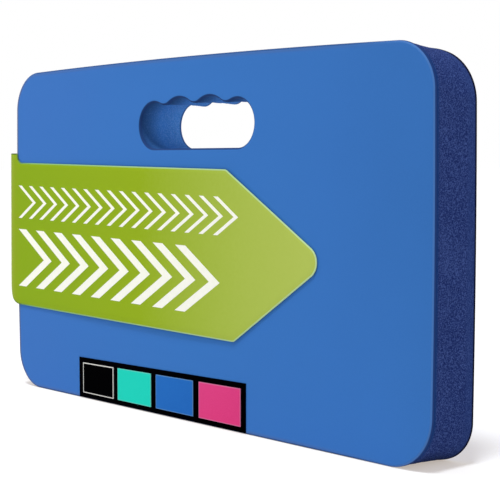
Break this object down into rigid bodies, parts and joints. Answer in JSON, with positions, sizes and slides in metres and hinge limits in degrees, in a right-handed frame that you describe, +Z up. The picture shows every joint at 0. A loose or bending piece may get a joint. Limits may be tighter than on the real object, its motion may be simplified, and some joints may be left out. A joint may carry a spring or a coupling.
{
  "type": "kneeling pad",
  "caption": "Thick rectangular foam kneeling pad with rounded corners and a hand slot with finger grips, standing on its long edge, with an arrow-shaped card wrapped round one end.",
  "frame": {"origin": "middle of the flat lower edge face that the pad stands on, halfway along its length and through its thickness", "axes": "+X along the pad's length towards the bare end, +Y through its thickness away from the front face that carries the card's arrow panel, +Z up"},
  "size_m": [0.4564, 0.0408, 0.2527],
  "materials": {
    "foam_core": "matte",
    "foam_skin": "matte",
    "label_card": "satin",
    "strip_backing": "satin",
    "strip_outline": "satin",
    "chip_black": "matte",
    "chip_teal": "matte",
    "chip_blue": "matte",
    "chip_pink": "matte"
  },
  "bodies": {
    "pad": {"foam_core": "foam_core", "front_skin": "foam_skin", "back_skin": "foam_skin", "colour_strip": "strip_backing", "chip_outline": "strip_outline", "chip_black": "chip_black", "chip_teal": "chip_teal", "chip_blue": "chip_blue", "chip_pink": "chip_pink"},
    "card": {"label_card": "label_card"}
  },
  "joints": [
    {"name": "card_slide", "type": "slide", "parent": "pad", "child": "card", "axis": [-1, 0, 0], "range_m": [0, 0.36]}
  ]
}
